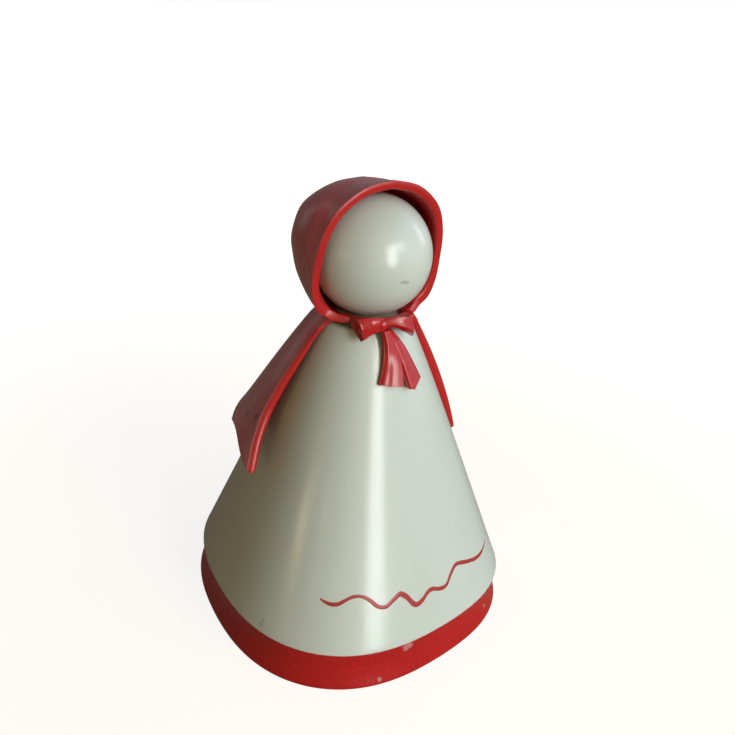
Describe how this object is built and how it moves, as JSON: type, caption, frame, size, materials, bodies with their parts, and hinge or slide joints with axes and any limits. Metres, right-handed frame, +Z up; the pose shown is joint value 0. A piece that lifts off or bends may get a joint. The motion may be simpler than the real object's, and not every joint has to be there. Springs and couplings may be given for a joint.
{
  "type": "hooded doll",
  "caption": "Hooded doll: a blank ball head under a hood, with a cape and a bow, on a hollow cone skirt that is closed below by a push-fit base with a hem band.",
  "frame": {"origin": "on the neck axis, at the flat underside of the base", "axes": "+Z up along the neck, -Y towards the skirt's flat front, -X towards the doll's own right hand"},
  "size_m": [0.1144, 0.1174, 0.1633],
  "materials": {
    "base_red": "glossy moulded red",
    "skirt_cream": "glossy moulded cream with a green cast",
    "neck_cream": "glossy moulded cream",
    "clip_cream": "plain moulded cream",
    "head_cream": "glossy moulded cream",
    "cape_red": "glossy moulded red, lightly scuffed",
    "tie_red": "glossy moulded red",
    "hood_red": "glossy moulded red"
  },
  "bodies": {
    "base": {"base_pan": "base_red"},
    "skirt": {"skirt_shell": "skirt_cream", "neck_post": "neck_cream", "neck_clip": "clip_cream"},
    "shoulders": {"cape": "cape_red", "collar": "tie_red", "bow": "tie_red", "hood": "hood_red"},
    "head": {"head_front": "head_cream", "head_back": "head_cream"}
  },
  "joints": [
    {"name": "skirt_lift", "type": "slide", "parent": "base", "child": "skirt", "axis": [0, 0, 1], "range_m": [0, 0.02]},
    {"name": "shoulders_turn", "type": "hinge", "parent": "skirt", "child": "shoulders", "pos_m": [0, 0, 0.1138], "axis": [0, 0, 1], "continuous": true},
    {"name": "head_turn", "type": "hinge", "parent": "skirt", "child": "head", "pos_m": [0, 0, 0.1167], "axis": [0, 0, 1], "continuous": true}
  ]
}
